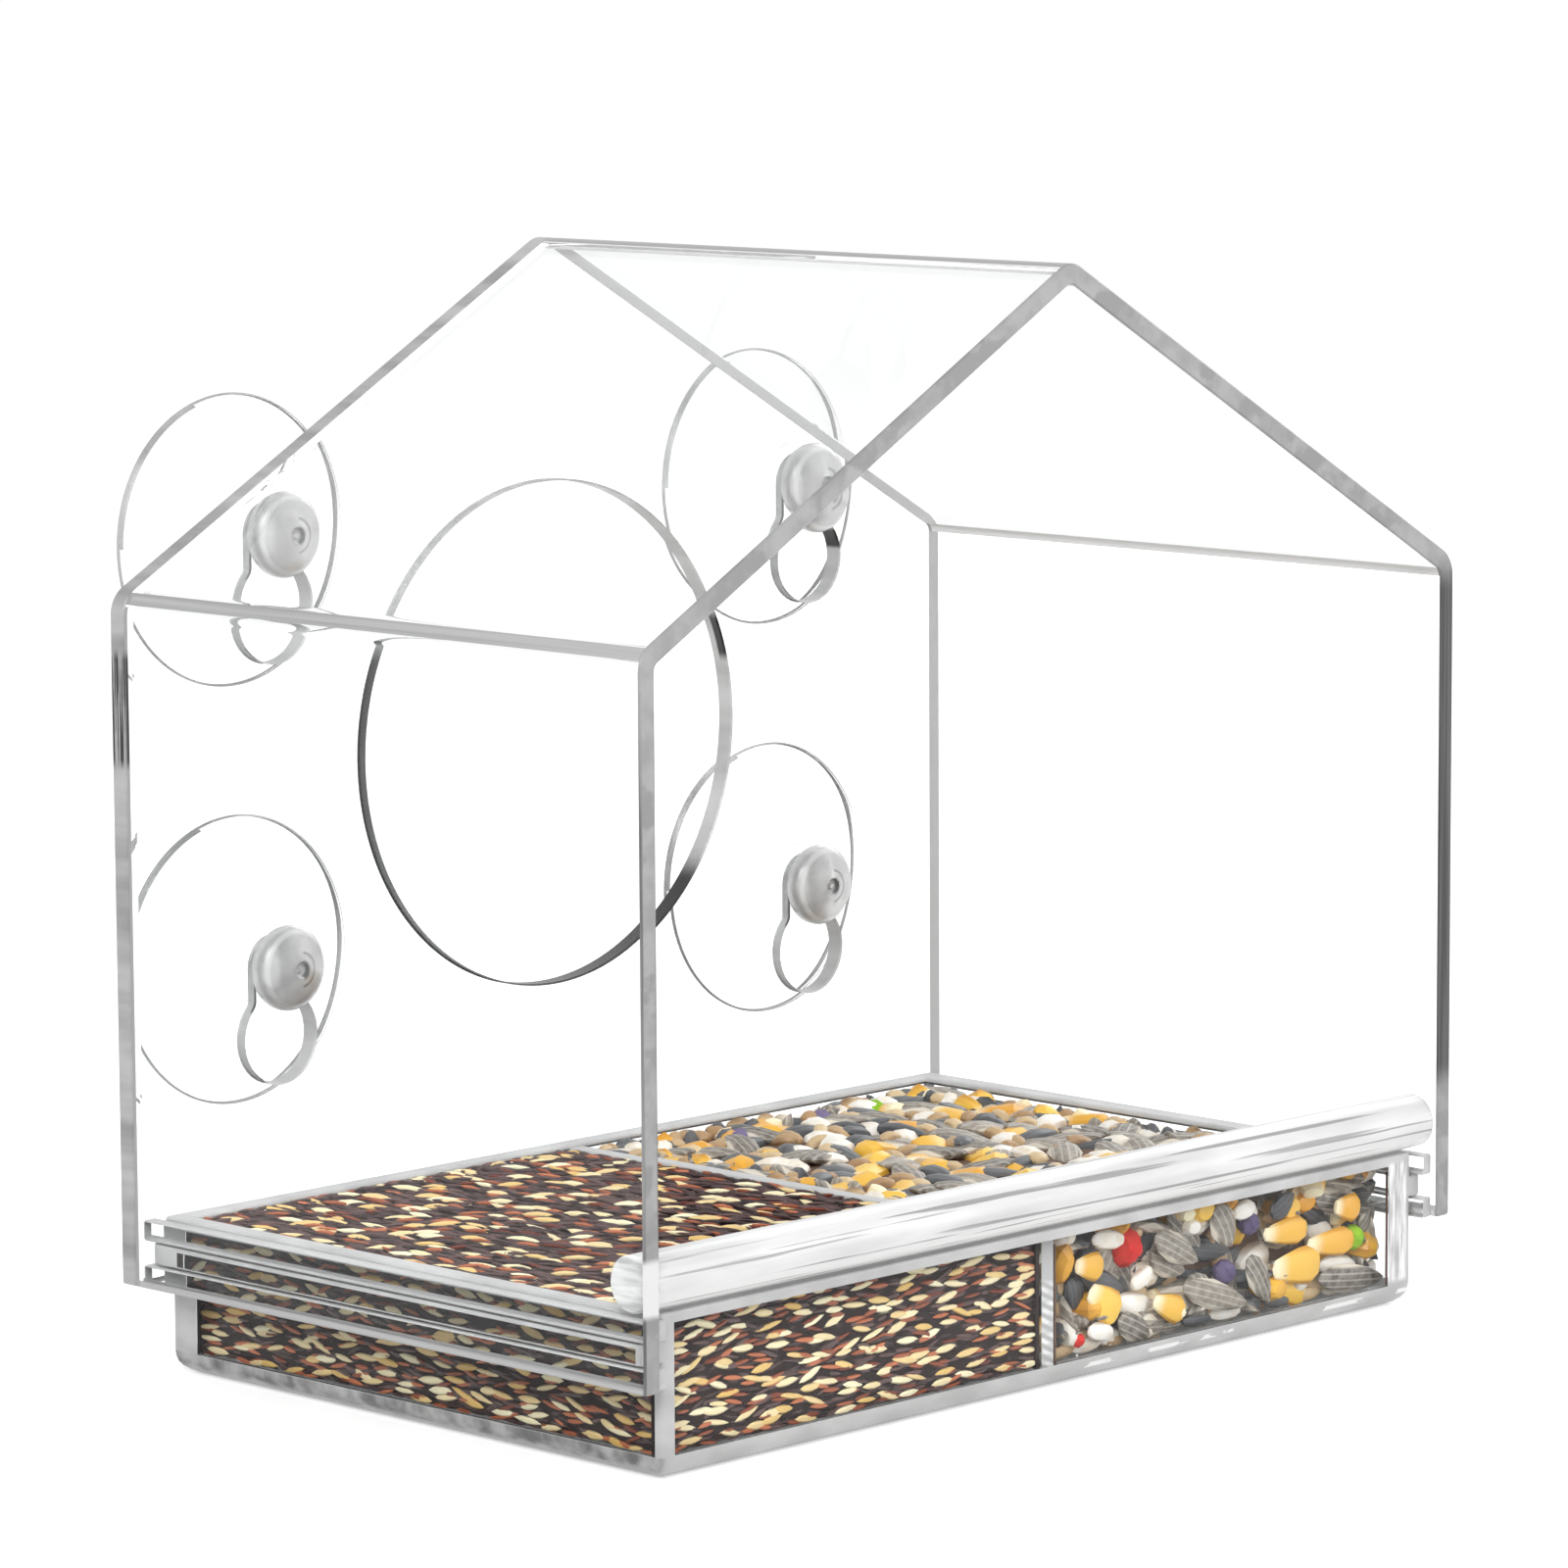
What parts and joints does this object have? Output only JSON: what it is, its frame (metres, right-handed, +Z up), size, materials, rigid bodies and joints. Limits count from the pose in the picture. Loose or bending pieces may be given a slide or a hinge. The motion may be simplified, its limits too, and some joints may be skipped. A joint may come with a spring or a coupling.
{
  "type": "window bird feeder",
  "caption": "Clear gabled house that hangs on a window by suction cups in keyholes, with a perch and a sliding seed tray in two compartments.",
  "frame": {"origin": "centre of the overall box at the seed tray's underside", "axes": "+Z up, +Y towards the window that the cups hold on to, X along the front edge, with -X on the left of someone who faces the open front"},
  "size_m": [0.17, 0.1164, 0.1606],
  "materials": {
    "clear_acrylic": "polished clear sheet with sawn edges that read grey",
    "rod_acrylic": "clear extruded rod, milky white in the light",
    "moulded_tray": "clear injection moulding with rounded edges",
    "soft_vinyl": "soft clear vinyl, the heads translucent white"
  },
  "bodies": {
    "house": {"house_shell": "clear_acrylic", "back_panel": "clear_acrylic", "lower_rail_left": "clear_acrylic", "lower_rail_right": "clear_acrylic", "upper_rail_left": "clear_acrylic", "upper_rail_right": "clear_acrylic", "perch_rod": "rod_acrylic"},
    "tray": {"seed_tray": "moulded_tray", "tray_divider": "moulded_tray"},
    "cup_upper_left": {"suction_cup_upper_left": "soft_vinyl"},
    "cup_upper_right": {"suction_cup_upper_right": "soft_vinyl"},
    "cup_lower_left": {"suction_cup_lower_left": "soft_vinyl"},
    "cup_lower_right": {"suction_cup_lower_right": "soft_vinyl"}
  },
  "joints": [
    {"name": "tray_slide", "type": "slide", "parent": "house", "child": "tray", "axis": [0, -1, 0], "range_m": [0, 0.11]},
    {"name": "cup_upper_left_slide", "type": "slide", "parent": "house", "child": "cup_upper_left", "axis": [0, 0, -1], "range_m": [0, 0.0105]},
    {"name": "cup_upper_right_slide", "type": "slide", "parent": "house", "child": "cup_upper_right", "axis": [0, 0, -1], "range_m": [0, 0.0105]},
    {"name": "cup_lower_left_slide", "type": "slide", "parent": "house", "child": "cup_lower_left", "axis": [0, 0, -1], "range_m": [0, 0.0105]},
    {"name": "cup_lower_right_slide", "type": "slide", "parent": "house", "child": "cup_lower_right", "axis": [0, 0, -1], "range_m": [0, 0.0105]}
  ]
}
